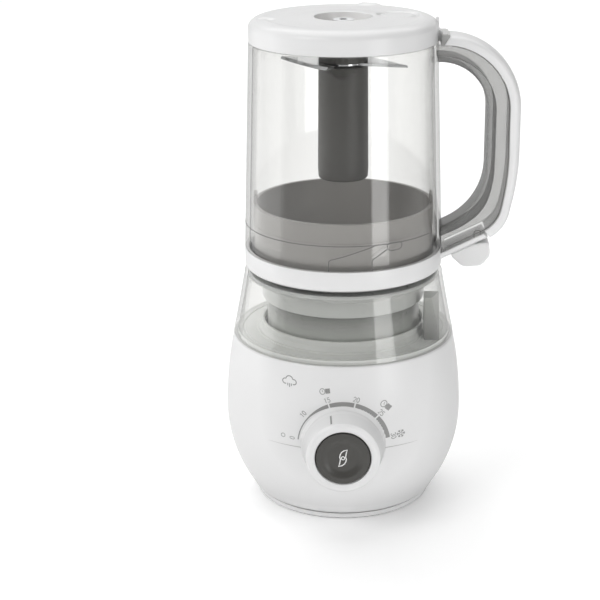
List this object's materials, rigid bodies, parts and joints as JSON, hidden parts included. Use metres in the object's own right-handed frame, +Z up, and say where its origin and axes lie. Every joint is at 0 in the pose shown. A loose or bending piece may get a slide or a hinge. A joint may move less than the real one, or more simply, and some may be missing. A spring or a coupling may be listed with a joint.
{
  "type": "baby food maker",
  "caption": "Baby food steamer and blender: round base with a timer knob and clear water tank, and a clear lidded jar with a D-shaped handle.",
  "frame": {"origin": "on the jar's and base's common axis, in the plane that the rubber foot ring stands on", "axes": "+Z up along the jar's axis; the control knob faces -Y; the jar's handle points to +X"},
  "size_m": [0.1818, 0.1665, 0.305],
  "materials": {
    "white_plastic": "smooth satin gloss",
    "inner_white": "matt moulded",
    "clear_plastic": "clear, polished, with a grey tint",
    "warm_grey_plastic": "satin",
    "tower_grey_plastic": "satin",
    "seat_grey_plastic": "satin",
    "dark_plastic": "satin",
    "duct_plastic": "satin, smoked",
    "rubber_dark": "matt",
    "silicone_grey": "matt silicone",
    "steel": "brushed",
    "zinc_steel": "plated",
    "cast_aluminium": "cast",
    "magnet": "sintered",
    "copper": "enamelled winding",
    "bronze": "sintered bronze",
    "circuit_board": "solder mask"
  },
  "bodies": {
    "base": {"bottom_cover": "white_plastic", "foot_ring": "rubber_dark", "bottom_screws": "zinc_steel", "lower_housing": "white_plastic", "top_deck": "inner_white", "motor_can": "zinc_steel", "stator_magnets": "magnet", "motor_bracket": "zinc_steel", "motor_dampers": "rubber_dark", "motor_screws": "zinc_steel", "lower_bearing": "bronze", "upper_bearing": "bronze", "shaft_seal": "rubber_dark", "boiler_cup": "cast_aluminium", "boiler_seal": "rubber_dark", "boiler_lid": "dark_plastic", "boiler_screws": "zinc_steel", "heating_element": "zinc_steel", "thermostat": "zinc_steel", "water_tube": "clear_plastic", "steam_tube": "duct_plastic", "timer_body": "inner_white", "timer_screws": "zinc_steel", "blend_switch": "dark_plastic", "control_board": "circuit_board", "cord_gland": "rubber_dark", "tank": "clear_plastic", "tank_seal": "rubber_dark", "drive_tower": "tower_grey_plastic", "seat_ring": "seat_grey_plastic", "steam_duct": "duct_plastic"},
    "rotor": {"armature": "copper", "motor_shaft": "steel", "cooling_fan": "dark_plastic", "drive_coupling": "dark_plastic"},
    "knob": {"control_knob": "white_plastic", "knob_shaft": "steel", "button_spring": "zinc_steel"},
    "button": {"blend_button": "dark_plastic"},
    "seat_turn": {"seat_seal": "silicone_grey"},
    "jar": {"jar": "clear_plastic", "handle_channel": "clear_plastic", "handle_cover": "white_plastic", "latch_block": "warm_grey_plastic", "strainer": "warm_grey_plastic", "jar_seal": "silicone_grey"},
    "ring": {"jar_ring": "white_plastic"},
    "lid_turn": {"lid_seal": "silicone_grey"},
    "lid": {"lid": "white_plastic", "spindle_bush": "bronze", "lock_spring": "zinc_steel"},
    "pin": {"lock_pin": "white_plastic"},
    "blade_unit": {"blade_spindle": "steel", "blade_column": "dark_plastic", "blade": "steel", "blade_nut": "dark_plastic"}
  },
  "joints": [
    {"name": "rotor_spin", "type": "hinge", "parent": "base", "child": "rotor", "pos_m": [0, 0, 0.08], "axis": [0, 0, 1], "continuous": true},
    {"name": "knob_turn", "type": "hinge", "parent": "base", "child": "knob", "pos_m": [0, -0.08, 0.0574], "axis": [0, 1, 0], "range_deg": [-66, 99]},
    {"name": "button_press", "type": "slide", "parent": "knob", "child": "button", "axis": [0, 1, 0], "range_m": [0, 0.0025], "stiffness_N_per_m": 400, "deforming": ["button_spring"]},
    {"name": "jar_twist", "type": "hinge", "parent": "base", "child": "seat_turn", "pos_m": [0, 0, 0.15], "axis": [0, 0, 1], "range_deg": [0, 22]},
    {"name": "jar_lift", "type": "slide", "parent": "seat_turn", "child": "jar", "axis": [0, 0, 1], "range_m": [0, 0.1]},
    {"name": "ring_twist", "type": "hinge", "parent": "jar", "child": "ring", "pos_m": [0, 0, 0.155], "axis": [0, 0, 1], "range_deg": [-30, 0]},
    {"name": "lid_twist", "type": "hinge", "parent": "jar", "child": "lid_turn", "pos_m": [0, 0, 0.285], "axis": [0, 0, 1], "range_deg": [0, 25]},
    {"name": "lid_lift", "type": "slide", "parent": "lid_turn", "child": "lid", "axis": [0, 0, 1], "range_m": [0, 0.1]},
    {"name": "pin_press", "type": "slide", "parent": "lid", "child": "pin", "axis": [0, 0, -1], "range_m": [0, 0.003], "stiffness_N_per_m": 300, "deforming": ["lock_spring"]},
    {"name": "blade_spin", "type": "hinge", "parent": "lid", "child": "blade_unit", "pos_m": [0, 0, 0.28], "axis": [0, 0, 1], "continuous": true}
  ]
}
